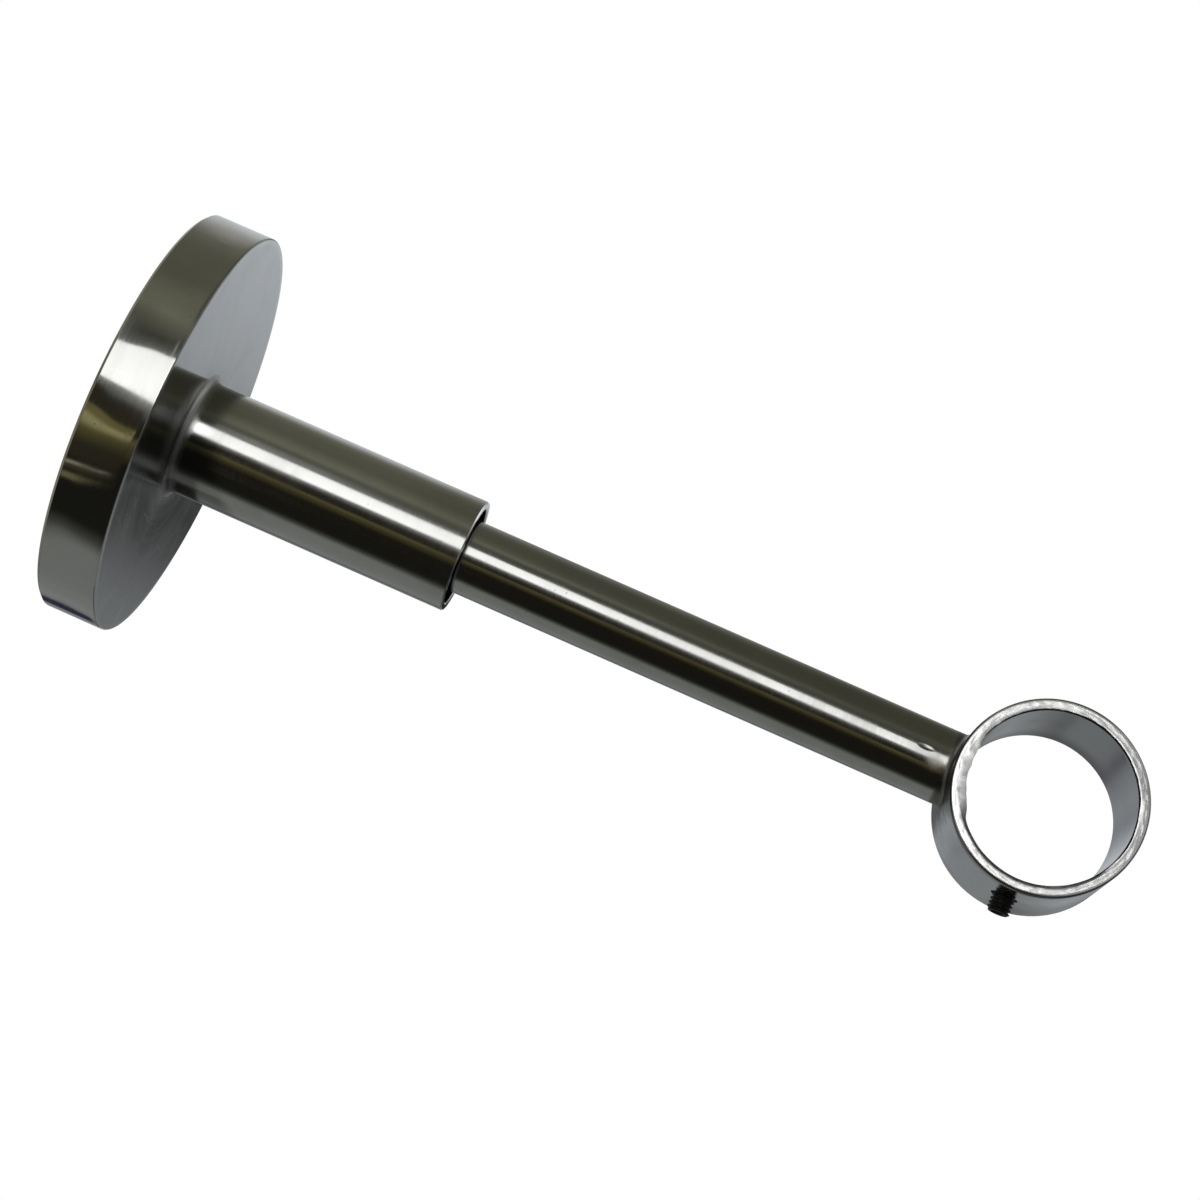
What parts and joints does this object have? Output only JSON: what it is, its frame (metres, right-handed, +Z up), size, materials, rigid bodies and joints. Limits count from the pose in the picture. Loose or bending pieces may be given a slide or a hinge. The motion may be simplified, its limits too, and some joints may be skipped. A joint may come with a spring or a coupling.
{
  "type": "curtain pole bracket",
  "caption": "Wall bracket for a curtain pole: round rose, short stem, sliding arm and a closed ring with a clamp screw.",
  "frame": {"origin": "centre of the wall face of the plate", "axes": "+Y into the wall along the arm's axis, so that the arm reaches out along -Y; +X along the pole; +Z up, with the pole screw below the ring"},
  "size_m": [0.071, 0.1803, 0.071],
  "materials": {
    "polished_dark_nickel": "polished dark nickel plate on steel",
    "satin_nickel": "satin nickel plate on steel, with bright cut end faces",
    "plated_steel": "bright zinc plate on steel",
    "black_steel": "black oxide on steel"
  },
  "bodies": {
    "wall_fitting": {"wall_plate": "plated_steel", "socket_tube": "plated_steel", "rose": "polished_dark_nickel", "stem": "polished_dark_nickel"},
    "arm": {"arm": "polished_dark_nickel", "ring": "satin_nickel"},
    "pole_screw": {"pole_screw": "black_steel"},
    "lock_screw": {"lock_screw": "black_steel"}
  },
  "joints": [
    {"name": "arm_slide", "type": "slide", "parent": "wall_fitting", "child": "arm", "axis": [0, -1, 0], "range_m": [-0.008, 0.02]},
    {"name": "pole_screw_travel", "type": "slide", "parent": "arm", "child": "pole_screw", "axis": [0, 0, 1], "range_m": [0, 0.0026]},
    {"name": "lock_screw_travel", "type": "slide", "parent": "wall_fitting", "child": "lock_screw", "axis": [0, 0, 1], "range_m": [0, 0.0012]}
  ]
}
